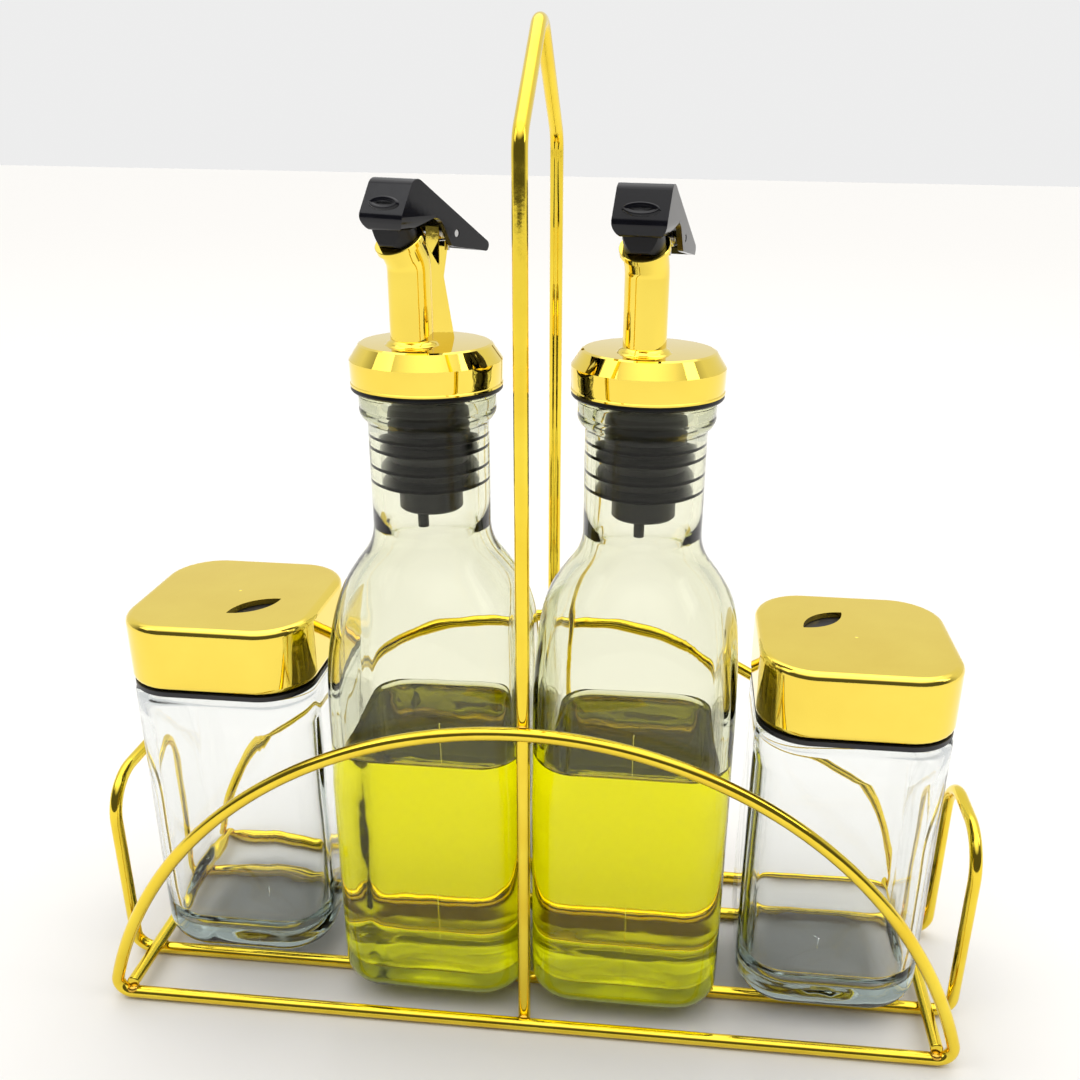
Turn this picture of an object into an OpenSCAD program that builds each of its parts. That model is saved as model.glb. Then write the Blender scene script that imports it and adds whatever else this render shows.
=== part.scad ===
// Cruet set: a wire rack that carries two oil bottles with lever pourers and two shaker jars.
// Millimetres. X runs along the rack, -Y is the front and Z is up. The origin is on the table,
// under the middle of the rack. Lists of two hold the left and the right one of a pair.

/* [Rack] */
// Diameter of the rack's wire
wire_d = 3.4; // [2.6:0.2:4.2]
// Depth that two welded wires sink into each other
weld = 0.3; // [0.1:0.1:0.6]
// Height of the arches, to the middle of the wire
arch_h = 92; // [74:1:112]
// Bend radius where an arch meets its bottom rail
arch_bend = 4; // [3.4:0.2:6]
// Room between the outer jar and the end of the arches
end_room = 7; // [5:0.5:20]
// Room between a centred bottle and the middle of an arch's wire
side_room = 9.5; // [8.5:0.5:20]
// Distance between the two shelf rails
rail_gap = 34; // [28:1:36]
// Bend radius where a shelf rail turns up into an end loop
rail_bend = 5; // [4:0.5:8]
// Distance that an end loop stands outside the arches' ends
loop_out = 2.4; // [2:0.2:8]
// Height of the end loops
loop_h = 57; // [40:1:70]
// Bend radius of the end loops' corners
loop_bend = 12; // [6:1:14]
// Height of the handle's two shoulders
shoulder_h = 225; // [190:1:270]
// Height of the handle's peak, to the middle of the wire
handle_h = 248; // [235:1:300]
// Bend radius of the handle's shoulders and peak
handle_bend = 7; // [5:1:12]

/* [Bottles] */
// Width of the square bottle
bottle_w = 51; // [42:1:62]
// Radius of the bottle's upright corners
bottle_corner = 11; // [8:0.5:16]
// Gap between the two bottles
bottle_gap = 1.6; // [1:0.2:8]
// How far forward of the middle the bottles stand
bottle_forward = 6.4; // [0:0.2:6.6]
// Glass thickness of the bottle's walls
bottle_wall = 3; // [2:0.2:4]
// Glass thickness of the bottle's bottom
bottle_base = 8; // [4:0.5:12]
// Height of the bottle's body below its shoulder
body_h = 82; // [60:1:110]
// Radius of the shoulder's long outward curve
shoulder_r = 67; // [55:1:90]
// Radius of the hollow curve between shoulder and neck
throat_r = 14; // [8:1:20]
// Outer radius of the neck
neck_r = 14.6; // [14:0.1:17]
// Glass thickness of the neck
neck_wall = 2.6; // [2:0.1:2.8]
// Length of the straight neck, with its lip
neck_h = 33; // [31:0.5:50]
// Outer radius of the lip
lip_r = 16.4; // [15.6:0.1:17.4]
// Height of the lip
lip_h = 6.5; // [4:0.5:9]
// Height of the oil above the bottle's inner bottom
oil_h = 66; // [20:1:70]

/* [Pourers] */
// Turn of each pourer about its bottle's axis, in degrees
pourer_turn = [-27, -12]; // [-180:1:180]
// Radius of the collar
collar_r = 18.1; // [17.8:0.1:20]
// Height of the collar's upright band
band_h = 6.3; // [4:0.1:8]
// Height of the collar's sloping rim
rim_h = 3.5; // [2:0.1:5]
// Thickness of the rubber gasket under the collar
gasket_t = 1.3; // [0.8:0.1:2]
// Outer radius of the spout tube
spout_r = 5; // [4.6:0.1:5.4]
// Radius of the spout's flow channel
flow_r = 3.2; // [2:0.1:3.4]
// Forward offset of the spout tube from the bottle's axis
spout_forward = 4.8; // [4.4:0.1:6]
// Height of the spout's elbow above the collar
elbow_h = 18.5; // [14:0.5:26]
// Length of the leaning mouth beyond the elbow
mouth_len = 6; // [5:0.5:9]
// Lean of the mouth from upright, in degrees
mouth_lean = 32; // [20:1:40]
// Outer radius of the mouth's ring
mouth_r = 5.7; // [5.4:0.1:6]
// Width of the lever
lever_w = 12.3; // [12:0.1:14]
// Wall thickness of the lever
lever_wall = 1.3; // [1:0.1:1.6]
// Radius of the lever's hinge pin
pin_r = 0.8; // [0.6:0.05:1]
// Radius of the stopper's core
stopper_r = 9.6; // [8:0.1:10.4]
// Depth that the stopper reaches into the neck
stopper_h = 30.5; // [26:0.5:32]
// Radius of the stopper's stem tube
stem_r = 6; // [5.6:0.1:6.4]
// Outer radius of the air tube
air_tube_r = 1.3; // [1:0.1:1.4]
// Length of the air tube that shows below the stopper
air_tube_h = 5; // [2:0.5:40]

/* [Jars] */
// Width of the square jar
jar_w = 49.2; // [42:0.2:60]
// Radius of the jar's upright corners
jar_corner = 12.5; // [9:0.5:16]
// Height of the jar's body
jar_h = 85; // [60:1:110]
// Glass thickness of the jar's walls
jar_wall = 2.8; // [2:0.2:4]
// Glass thickness of the jar's bottom
jar_base = 7; // [4:0.5:12]
// Outer radius of the jar's neck
jar_neck_r = 20.4; // [16:0.2:20.6]
// Height of the jar's neck
jar_neck_h = 16.6; // [10:0.2:20]
// How far back of the middle each jar stands
jar_back = [2.6, -2]; // [-4:0.1:4]
// Room between each turning cover and the bottle beside it
jar_gap = [2, 0.4]; // [0.4:0.1:6]
// Width of the square cover
cover_w = 49.6; // [49:0.1:60]
// Radius of the cover's upright corners
cover_corner = 13.4; // [11:0.1:16]
// Wall thickness of the cover
cover_wall = 1.5; // [1:0.1:2]
// Turn of each cover on its shaker, in degrees
cover_turn = [0, 180]; // [-180:5:180]
// Distance of the pouring holes from the cover's axis
slot_out = 10.6; // [8:0.2:12]
// Length of a pouring slot
slot_l = 15.5; // [10:0.5:17]
// Width of a pouring slot
slot_w = 6.4; // [3:0.2:8]

/* [Hidden] */
$fn = 64;
LEFT = 0;
RIGHT = 1;

// clearances
rest = 0.1;      // under glass that stands on wire, and under a gasket on glass
slip = 0.15;     // round a part that pulls out
turn = 0.3;      // between curved faces that turn past each other
fit = 0.03;      // between parts that are pressed together
hinge_play = 0.05;

// places of the glass
stand_z = wire_d + rest;
bottle_x = (bottle_w + bottle_gap) / 2;
cover_reach = reach(cover_w, cover_corner);
jar_x = [for (gap = jar_gap) bottle_x + bottle_w / 2 + gap + cover_reach];
half_len = max(jar_x) + jar_w / 2 + end_room;
half_dep = bottle_w / 2 + side_room;

// arch: a circle through the rail's two ends, with a bend at each end
wire_r = wire_d / 2;
arch_rise = arch_h - wire_r;
arch_r = (half_len * half_len + arch_rise * arch_rise) / (2 * arch_rise);
arch_z = arch_h - arch_r;
bend_z = wire_r + arch_bend;
bend_x = sqrt(pow(arch_r - arch_bend, 2) - pow(bend_z - arch_z, 2));
bend_up = atan2(bend_z - arch_z, bend_x);
cross_z = wire_r + wire_d - weld;
cross_x = bend_x;
handle_y = half_dep - wire_d + weld;
handle_rise = handle_h - handle_bend - shoulder_h;
handle_lean = atan2(handle_rise, handle_y) + asin(handle_bend / norm([handle_y, handle_rise]));
loop_x = half_len + loop_out;
lap = 0.25;
bend_swell = 0.02;
lap_angle = lap / arch_r * 180 / PI;

// bottle outline
corner_over = 0.5;
bottle_reach = reach(bottle_w, bottle_corner) + corner_over;
dome_back = shoulder_r - bottle_reach;
throat_x = neck_r + throat_r;
dome_to_throat = shoulder_r + throat_r;
throat_z = body_h + sqrt(pow(dome_to_throat, 2) - pow(throat_x + dome_back, 2));
bottle_h = throat_z + neck_h;
neck_in = neck_r - neck_wall;
heel_r = 6;

// pourer, measured from the top of the bottle's lip
collar_z = rest + gasket_t;
plate_z = collar_z + band_h + rim_h;
elbow_z = plate_z + elbow_h;
pivot = [-5.1, plate_z + 24.3];
fin_w = 4;
lever_in = lever_w - 2 * lever_wall;
ear_r = 2;
plug_r = 4.6;
air_out = 3.5;

// jar and its shaker
shaker_z = jar_h + turn;
shaker_r = cover_w / 2 - cover_wall - turn;
flange_t = 1.3;
deck_t = 1.5;
deck_z = jar_h + jar_neck_h + rest;
cover_z = shaker_z + flange_t + rest;
cover_top = deck_z + deck_t + 2 * rest + cover_wall;

// distance from the axis to the corner of a square with rounded corners
function reach(w, r) = (w / 2 - r) * sqrt(2) + r;

// points of a closed outline whose corners are rounded: each corner is [x, y, radius]
function rounded(corners, steps = 5) = [
    for (i = [0 : len(corners) - 1])
        let (
            p = corners[i],
            a = corners[(i + len(corners) - 1) % len(corners)],
            b = corners[(i + 1) % len(corners)],
            to_a = unit([a.x - p.x, a.y - p.y]),
            to_b = unit([b.x - p.x, b.y - p.y]),
            half = acos(to_a * to_b) / 2,
            back = p[2] / tan(half),
            centre = [p.x, p.y] + unit(to_a + to_b) * p[2] / sin(half),
            from = [p.x, p.y] + to_a * back - centre,
            to = [p.x, p.y] + to_b * back - centre
        )
        for (k = [0 : steps])
            centre + unit(from * (steps - k) + to * k) * p[2]
];
function unit(v) = v / norm(v);

module rounded_square(w, r) {
    square([w - 2 * r, w], center = true);
    square([w, w - 2 * r], center = true);
    for (x = [-1, 1], y = [-1, 1])
        translate([x * (w / 2 - r), y * (w / 2 - r)])
            circle(r);
}

// ---- wires ----

// a straight wire from the origin along +X
module straight(length) {
    rotate([0, 90, 0])
        cylinder(r = wire_r, h = length);
}

// a straight wire whose two ends lap into the bends that it joins
module lapped(length) {
    translate([-lap, 0, 0])
        straight(length + 2 * lap);
}

// a bend in the XY plane about the origin, from angle a through the angle sweep; the wire
// swells a hair where it is bent
module bend(radius, a, sweep, swell = bend_swell) {
    rotate([0, 0, a])
        rotate_extrude(angle = sweep)
            translate([radius, 0])
                circle(wire_r + swell);
}

// an arch with its bottom rail, upright in the XZ plane
module arch_frame(y) {
    color("gold")
        translate([0, y, 0])
            rotate([90, 0, 0]) {
                translate([-bend_x, wire_r, 0])
                    lapped(2 * bend_x);
                translate([bend_x, bend_z, 0])
                    bend(arch_bend, -90, 90 + bend_up);
                translate([-bend_x, bend_z, 0])
                    bend(arch_bend, 180 - bend_up, 90 + bend_up);
                translate([0, arch_z, 0])
                    bend(arch_r, bend_up - lap_angle, 180 - 2 * (bend_up - lap_angle), 0);
            }
}

module cross_wire(x) {
    color("gold")
        translate([x, -half_dep, cross_z])
            rotate([0, 0, 90])
                straight(2 * half_dep);
}

// the tall handle, upright in the YZ plane
module handle() {
    cut = handle_bend * tan((90 - handle_lean) / 2);
    sloped = handle_y / cos(handle_lean) - cut - handle_bend * tan(handle_lean);
    peak_z = handle_h - handle_bend;
    color("gold")
        rotate([90, 0, 90]) {
            translate([0, peak_z, 0])
                bend(handle_bend, 90 - handle_lean, 2 * handle_lean);
            for (side = [-1, 1])
                mirrored(side) {
                    translate([handle_y, 0, 0])
                        rotate([0, 0, 90])
                            straight(shoulder_h - cut + lap);
                    translate([handle_y - handle_bend, shoulder_h - cut, 0])
                        bend(handle_bend, 0, 90 - handle_lean);
                    translate([0, peak_z, 0])
                        rotate([0, 0, -handle_lean])
                            translate([0, handle_bend, 0])
                                lapped(sloped);
                }
        }
}

module mirrored(side) {
    if (side > 0)
        children();
    else
        mirror([1, 0, 0])
            children();
}

// the shelf: two rails that turn up at each end into one loop
module shelf_wire() {
    rail_x = loop_x - rail_bend;
    leg_z = wire_r + rail_bend;
    side_y = rail_gap / 2;
    color("gold")
        union() {
            for (y = [-side_y, side_y])
                translate([-rail_x, y, wire_r])
                    lapped(2 * rail_x);
            for (side = [-1, 1])
                mirrored(side) {
                    for (y = [-side_y, side_y]) {
                        translate([rail_x, y, leg_z])
                            rotate([90, 0, 0])
                                bend(rail_bend, -90, 90);
                        translate([loop_x, y, leg_z])
                            rotate([0, -90, 0])
                                lapped(loop_h - loop_bend - leg_z);
                    }
                    translate([loop_x, 0, 0])
                        rotate([90, 0, 90]) {
                            for (turned = [-1, 1])
                                mirrored(turned)
                                    translate([side_y - loop_bend, loop_h - loop_bend, 0])
                                        bend(loop_bend, 0, 90);
                            translate([loop_bend - side_y, loop_h, 0])
                                lapped(rail_gap - 2 * loop_bend);
                        }
                }
        }
}

// ---- bottles ----

module at_bottle(side) {
    translate([(side == LEFT ? -1 : 1) * bottle_x, -bottle_forward, stand_z])
        children();
}

// half section of the body, shoulder and neck, inset from the outside by a thickness
module bottle_section(inset, neck) {
    share = (shoulder_r - inset) / dome_to_throat;
    join_z = body_h + share * (throat_z - body_h);
    square([bottle_reach, body_h]);
    intersection() {
        translate([-dome_back, body_h])
            circle(shoulder_r - inset, $fn = 128);
        square([bottle_reach, join_z]);
    }
    difference() {
        translate([0, join_z])
            square([throat_x, throat_z - join_z]);
        translate([throat_x, throat_z])
            circle(throat_r + inset);
    }
    square([neck, bottle_h]);
}

module lip_section() {
    round_r = 2;
    translate([0, bottle_h - lip_h])
        square([lip_r - round_r, lip_h]);
    translate([0, bottle_h - lip_h + round_r])
        square([lip_r, lip_h - 2 * round_r]);
    for (z = [bottle_h - lip_h + round_r, bottle_h - round_r])
        translate([lip_r - round_r, z])
            circle(round_r);
}

module bottle(side) {
    color([0.82, 0.86, 0.82, 0.35])
        at_bottle(side)
            difference() {
                intersection() {
                    linear_extrude(bottle_h)
                        rounded_square(bottle_w, bottle_corner);
                    rotate_extrude() {
                        bottle_section(0, neck_r);
                        lip_section();
                    }
                    for_both_ways()
                        heel_block(bottle_w, bottle_h);
                }
                intersection() {
                    translate([0, 0, bottle_base])
                        linear_extrude(bottle_h)
                            rounded_square(bottle_w - 2 * bottle_wall, bottle_corner - bottle_wall);
                    rotate_extrude() {
                        bottle_section(bottle_wall, neck_in);
                        square([neck_in, bottle_h + 1]);
                    }
                }
            }
}

// a square block whose bottom edges are rounded along one pair of sides
module heel_block(w, h) {
    rotate([90, 0, 0])
        translate([0, 0, -w])
            linear_extrude(2 * w) {
                translate([-w / 2, heel_r])
                    square([w, h - heel_r]);
                translate([heel_r - w / 2, 0])
                    square([w - 2 * heel_r, h]);
                for (x = [-1, 1])
                    translate([x * (w / 2 - heel_r), heel_r])
                        circle(heel_r);
            }
}

// what both of a shape and the same shape turned a quarter have in common
module for_both_ways() {
    intersection() {
        children();
        rotate([0, 0, 90])
            children();
    }
}

module oil(side) {
    inner = bottle_w - 2 * bottle_wall - 2 * rest;
    color([0.72, 0.7, 0.05, 0.8])
        at_bottle(side)
            translate([0, 0, bottle_base])
                linear_extrude(oil_h)
                    rounded_square(inner, bottle_corner - bottle_wall - rest);
}

// ---- pourers: local -Y is the way that the spout points ----

module at_pourer(side) {
    at_bottle(side)
        translate([0, 0, bottle_h])
            rotate([0, 0, pourer_turn[side]])
                children();
}

// extrudes a side view, drawn as [forward, up], to a width that is centred on the axis
module side_view(width) {
    rotate([90, 0, -90])
        translate([0, 0, -width / 2])
            linear_extrude(width)
                children();
}

module along_mouth() {
    translate([0, -spout_forward, elbow_z])
        rotate([mouth_lean, 0, 0])
            children();
}

module spout(side) {
    rim_in = 2.6;
    chamber_r = 7.4;
    chamber_h = 3.5;
    ring_h = 1.4;
    waist = [-5, plate_z + 16.8];
    color("gold")
        at_pourer(side)
            difference() {
                union() {
                    rotate_extrude()
                        polygon([
                            [0, collar_z], [collar_r, collar_z], [collar_r, collar_z + band_h],
                            [collar_r - rim_in, plate_z], [0, plate_z]
                        ]);
                    translate([0, 0, collar_z - stopper_h])
                        cylinder(r = stem_r, h = stopper_h + 1);
                    translate([0, -spout_forward, plate_z - 1])
                        cylinder(r = spout_r, h = elbow_h + 1);
                    translate([0, -spout_forward, elbow_z])
                        sphere(r = spout_r);
                    along_mouth()
                        cylinder(r = spout_r, h = mouth_len);
                    along_mouth()
                        translate([0, 0, mouth_len - ring_h])
                            cylinder(r = mouth_r, h = ring_h);
                    side_view(fin_w) {
                        polygon([
                            [spout_forward, plate_z - 1], [-8.2, plate_z - 1], waist,
                            [-7.1, plate_z + 19.8], [pivot.x - ear_r, pivot.y], [pivot.x, pivot.y],
                            [pivot.x + ear_r, pivot.y], [-2.6, plate_z + 21.4], [1, elbow_z + 3],
                            [spout_forward, elbow_z]
                        ]);
                        translate(pivot)
                            circle(ear_r);
                    }
                }
                // the way of the oil: stem, chamber, tube and mouth
                translate([0, 1.6, collar_z - stopper_h - 1])
                    cylinder(r = flow_r, h = stopper_h + 2);
                translate([0, 0, collar_z + 0.8])
                    cylinder(r = chamber_r, h = chamber_h);
                translate([0, -spout_forward, collar_z + 1])
                    cylinder(r = flow_r, h = elbow_z - collar_z - 1);
                translate([0, -spout_forward, elbow_z])
                    sphere(r = flow_r);
                along_mouth()
                    cylinder(r = flow_r, h = mouth_len + 1);
                // the hole for the air tube, and the hole for the hinge pin
                translate([0, -air_out, collar_z - stopper_h - 1])
                    cylinder(r = air_tube_r + fit, h = stopper_h + 2);
                side_view(fin_w + 2)
                    translate(pivot)
                        circle(pin_r + fit);
            }
}

module gasket(side) {
    color("#15151a")
        at_pourer(side)
            translate([0, 0, rest])
                difference() {
                    cylinder(r = collar_r - 0.2, h = gasket_t - fit);
                    translate([0, 0, -1])
                        cylinder(r = stopper_r + fit, h = gasket_t + 2);
                }
}

module stopper(side) {
    ring_h = 1.1;
    ring_r = neck_in - slip;
    toe_h = 5.5;
    toe_r = 7.8;
    rings = [-11.2, -14.2, -18.7, -22.7];
    color("#17171c")
        at_pourer(side)
            difference() {
                rotate_extrude()
                    translate([stem_r + fit, 0]) {
                        translate([0, toe_h - stopper_h])
                            square([stopper_r - stem_r - fit, stopper_h - toe_h + collar_z - fit]);
                        translate([0, -stopper_h + collar_z])
                            square([toe_r - stem_r - fit, stopper_h - collar_z]);
                        for (z = rings)
                            translate([0, z])
                                square([ring_r - stem_r - fit, ring_h]);
                    }
            }
}

module air_tube(side) {
    bore = 0.7;
    color("#202024")
        at_pourer(side)
            translate([0, -air_out, collar_z - stopper_h - air_tube_h])
                difference() {
                    cylinder(r = air_tube_r, h = stopper_h + air_tube_h);
                    translate([0, 0, -1])
                        cylinder(r = bore, h = stopper_h + air_tube_h + 2);
                }
}

// side view of the lever: peak, nose, lip, cheeks and tail
function lever_corners() = let (p = plate_z) [
    [8.8, p + 37.2, 1.6], [13.6, p + 28.4, 1.2], [12.6, p + 26.2, 1], [8.6, p + 27.9, 1],
    [0.2, p + 27.7, 1.5], [-2.2, p + 21.6, 1.5], [-16.4, p + 19.6, 0.7], [-17.4, p + 21.4, 0.9]
];

module lever(side) {
    color("#101014")
        at_pourer(side)
            difference() {
                side_view(lever_w)
                    polygon(rounded(lever_corners()));
                side_view(lever_in)
                    polygon(rounded(lever_hollow()));
                side_view(lever_w + 2)
                    translate(pivot)
                        circle(pin_r + hinge_play);
            }
}

// the space inside the lever, open below
function lever_hollow() = let (
        c = lever_corners(),
        roof = unit([c[7].y - c[0].y, c[0].x - c[7].x]),
        nose = unit([c[0].y - c[1].y, c[1].x - c[0].x])
    ) [
        [c[0].x - 1.5, c[0].y - 1.9, 0.8],
        [c[1].x - lever_wall / nose.x, c[1].y - 0.6, 0.6],
        [c[1].x - lever_wall / nose.x, c[2].y - 4, 0.5],
        [c[7].x + 2, c[6].y - 3, 0.5],
        [c[7].x + 2, c[7].y + roof_y(c[7].x + 2) - lever_wall / roof.y, 0.3]
    ];
// height of the roof line above the tail's tip
function roof_y(x) = let (c = lever_corners())
    (x - c[7].x) * (c[0].y - c[7].y) / (c[0].x - c[7].x);

// rubber plug that fills the hood above the spout's mouth
module lever_plug(side) {
    color("#1b1b20")
        at_pourer(side)
            intersection() {
                along_mouth()
                    translate([0, 0, mouth_len + rest])
                        cylinder(r = plug_r, h = 2 * lever_w);
                side_view(lever_w)
                    polygon(rounded(lever_hollow()));
            }
}

module hinge_pin(side) {
    color("silver")
        at_pourer(side)
            side_view(lever_w - 0.3)
                translate(pivot)
                    circle(pin_r);
}

// torsion spring beside the fin: touching turns and two legs
module spring(side) {
    spring_r = 0.3;
    turns = 4;
    pitch = 1.8 * spring_r;
    coil_r = pin_r + 0.5;
    leg_l = 4;
    color("silver")
        at_pourer(side)
            translate([fin_w / 2 + rest, -pivot.x, pivot.y])
                rotate([0, 90, 0]) {
                    rotate_extrude()
                        for (k = [0 : turns - 1])
                            translate([coil_r, spring_r + pitch * k])
                                circle(spring_r, $fn = 24);
                    translate([0, coil_r, spring_r])
                        rotate([0, 90, 0])
                            cylinder(r = spring_r - fit, h = leg_l);
                    translate([coil_r, 0, spring_r + pitch * (turns - 1)])
                        rotate([90, 0, 0])
                            cylinder(r = spring_r - fit, h = leg_l);
                }
}

// ---- jars ----

module at_jar(side) {
    translate([(side == LEFT ? -1 : 1) * jar_x[side], jar_back[side], stand_z])
        children();
}

module jar(side) {
    color([0.85, 0.88, 0.86, 0.35])
        at_jar(side)
            difference() {
                union() {
                    intersection() {
                        linear_extrude(jar_h)
                            rounded_square(jar_w, jar_corner);
                        for_both_ways()
                            heel_block(jar_w, jar_h);
                    }
                    cylinder(r = jar_neck_r, h = jar_h + jar_neck_h);
                }
                translate([0, 0, jar_base])
                    linear_extrude(jar_h - jar_base - jar_wall)
                        rounded_square(jar_w - 2 * jar_wall, jar_corner - jar_wall);
                translate([0, 0, jar_base + 1])
                    cylinder(r = jar_neck_r - jar_wall, h = jar_h + jar_neck_h);
            }
}

// a pointed oval hole, its long side across the radius that it stands on
module slot(length, width) {
    bow = (length * length + width * width) / (4 * width);
    intersection() {
        translate([bow - width / 2, 0])
            circle(bow, $fn = 128);
        translate([width / 2 - bow, 0])
            circle(bow, $fn = 128);
    }
}

module on_diagonal(angle) {
    rotate([0, 0, angle])
        translate([slot_out, 0])
            children();
}

module shaker(side) {
    hole_r = 1.1;
    skirt_in = jar_neck_r + turn;
    color("#16161a")
        at_jar(side)
            difference() {
                union() {
                    translate([0, 0, shaker_z])
                        linear_extrude(flange_t)
                            rounded_square(cover_w - 2 * turn, cover_corner - turn);
                    translate([0, 0, shaker_z])
                        cylinder(r = shaker_r, h = deck_z + deck_t - shaker_z);
                }
                translate([0, 0, shaker_z - 1])
                    cylinder(r = skirt_in, h = deck_z - shaker_z + 1);
                translate([0, 0, deck_z - 1])
                    linear_extrude(deck_t + 2)
                        rotate([0, 0, cover_turn[side]]) {
                            on_diagonal(45)
                                slot(slot_l, slot_w);
                            on_diagonal(135)
                                for (a = [0 : 60 : 300])
                                    rotate([0, 0, a])
                                        translate([slot_w / 2, 0])
                                            circle(hole_r);
                        }
            }
}

module cover(side) {
    color("gold")
        at_jar(side)
            rotate([0, 0, cover_turn[side]])
                difference() {
                    translate([0, 0, cover_z])
                        linear_extrude(cover_top - cover_z)
                            rounded_square(cover_w, cover_corner);
                    translate([0, 0, cover_z - 1])
                        linear_extrude(cover_top - cover_wall - cover_z + 1)
                            rounded_square(cover_w - 2 * cover_wall, cover_corner - cover_wall);
                    translate([0, 0, cover_z])
                        linear_extrude(cover_top)
                            on_diagonal(-45)
                                slot(slot_l, slot_w);
                }
}

arch_frame(-half_dep);  // front_frame
arch_frame(half_dep);  // rear_frame
handle();
shelf_wire();
cross_wire(-cross_x);  // left_cross_wire
cross_wire(cross_x);  // right_cross_wire
bottle(LEFT);  // left_bottle
oil(LEFT);  // left_oil
spout(LEFT);  // left_spout
gasket(LEFT);  // left_gasket
stopper(LEFT);  // left_stopper
air_tube(LEFT);  // left_air_tube
lever(LEFT);  // left_lever
lever_plug(LEFT);  // left_lever_plug
hinge_pin(LEFT);  // left_hinge_pin
spring(LEFT);  // left_spring
bottle(RIGHT);  // right_bottle
oil(RIGHT);  // right_oil
spout(RIGHT);  // right_spout
gasket(RIGHT);  // right_gasket
stopper(RIGHT);  // right_stopper
air_tube(RIGHT);  // right_air_tube
lever(RIGHT);  // right_lever
lever_plug(RIGHT);  // right_lever_plug
hinge_pin(RIGHT);  // right_hinge_pin
spring(RIGHT);  // right_spring
jar(LEFT);  // left_jar
shaker(LEFT);  // left_shaker
cover(LEFT);  // left_cover
jar(RIGHT);  // right_jar
shaker(RIGHT);  // right_shaker
cover(RIGHT);  // right_cover
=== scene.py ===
"""The look of a cruet set: a gold wire rack with two oil bottles and two shaker jars."""
import math

import bmesh
import bpy
from mathutils import Matrix, Vector


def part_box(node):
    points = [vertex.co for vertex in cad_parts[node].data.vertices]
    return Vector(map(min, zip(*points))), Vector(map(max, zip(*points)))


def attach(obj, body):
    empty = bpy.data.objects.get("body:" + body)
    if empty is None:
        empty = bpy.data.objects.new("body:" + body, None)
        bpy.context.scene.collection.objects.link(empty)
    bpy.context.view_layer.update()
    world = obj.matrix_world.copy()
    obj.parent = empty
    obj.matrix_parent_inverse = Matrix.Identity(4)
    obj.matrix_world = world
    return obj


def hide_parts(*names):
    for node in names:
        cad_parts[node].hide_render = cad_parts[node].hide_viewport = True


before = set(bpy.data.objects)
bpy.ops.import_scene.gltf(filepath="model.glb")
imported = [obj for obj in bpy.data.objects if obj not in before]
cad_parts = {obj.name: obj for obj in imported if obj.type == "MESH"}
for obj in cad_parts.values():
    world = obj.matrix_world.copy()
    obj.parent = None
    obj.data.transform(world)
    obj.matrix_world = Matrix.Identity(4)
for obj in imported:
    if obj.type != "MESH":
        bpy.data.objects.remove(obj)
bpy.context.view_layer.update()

MM = 0.001
SIDES = ("left", "right")


# ---- places, read from the frame ----

def middle(node):
    low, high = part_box(node)
    return (low + high) / 2


cross_low, cross_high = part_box("left_cross_wire")
WIRE_R = (cross_high.z - cross_low.z) / 2
POURER_TURN = {"left": math.radians(-27), "right": math.radians(-12)}
COVER_TURN = {"left": 0.0, "right": math.pi}


# ---- modelling helpers ----

def only(piece):
    """Selects one piece and nothing else."""
    if bpy.context.object and bpy.context.object.mode != "OBJECT":
        bpy.ops.object.mode_set(mode="OBJECT")
    bpy.ops.object.select_all(action="DESELECT")
    piece.select_set(True)
    bpy.context.view_layer.objects.active = piece


def begin(name):
    """Names the primitive that was just added, puts its place in its mesh and opens it for editing."""
    piece = bpy.context.object
    piece.name = name
    piece.data.name = name
    only(piece)
    bpy.ops.object.transform_apply(location=True, rotation=True, scale=True)
    bpy.ops.object.mode_set(mode="EDIT")
    bpy.ops.mesh.select_all(action="SELECT")
    return piece


def end(piece, angle=35, merge=0.00001):
    """Closes a piece: doubles merged, faces turned outward, smooth up to an angle."""
    bpy.ops.mesh.select_all(action="SELECT")
    bpy.ops.mesh.remove_doubles(threshold=merge)
    bpy.ops.mesh.normals_make_consistent(inside=False)
    bpy.ops.object.mode_set(mode="OBJECT")
    bpy.ops.object.shade_smooth_by_angle(angle=math.radians(angle))
    return piece


def go(move):
    bpy.ops.mesh.extrude_region_move(TRANSFORM_OT_translate={"value": tuple(move)})


def turn(centre, axis, angle, steps):
    """Carries the selected ring round an axis, right-handed."""
    bpy.ops.mesh.spin(steps=steps, angle=-angle, center=tuple(centre), axis=tuple(axis))


def selected(mesh):
    return [v for v in mesh.verts if v.select]


def draw(name, points, closed=False):
    """A chain of edges through points; a closed one gets a face."""
    bpy.ops.mesh.primitive_plane_add(size=MM, location=points[0])
    piece = begin(name)
    bpy.ops.mesh.merge(type="CENTER")
    for here, there in zip(points, points[1:]):
        step = Vector(there) - Vector(here)
        bpy.ops.mesh.extrude_vertices_move(TRANSFORM_OT_translate={"value": tuple(step)})
    if closed:
        bpy.ops.mesh.select_all(action="SELECT")
        bpy.ops.mesh.edge_face_add()
    return piece


def lathe(name, profile, steps=96, angle=35):
    """Turns a profile of (radius, height) about the Z axis."""
    piece = draw(name, [(r, 0, z) for r, z in profile])
    bpy.ops.mesh.select_all(action="SELECT")
    turn((0, 0, 0), (0, 0, 1), math.tau, steps)
    return end(piece, angle)


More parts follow.
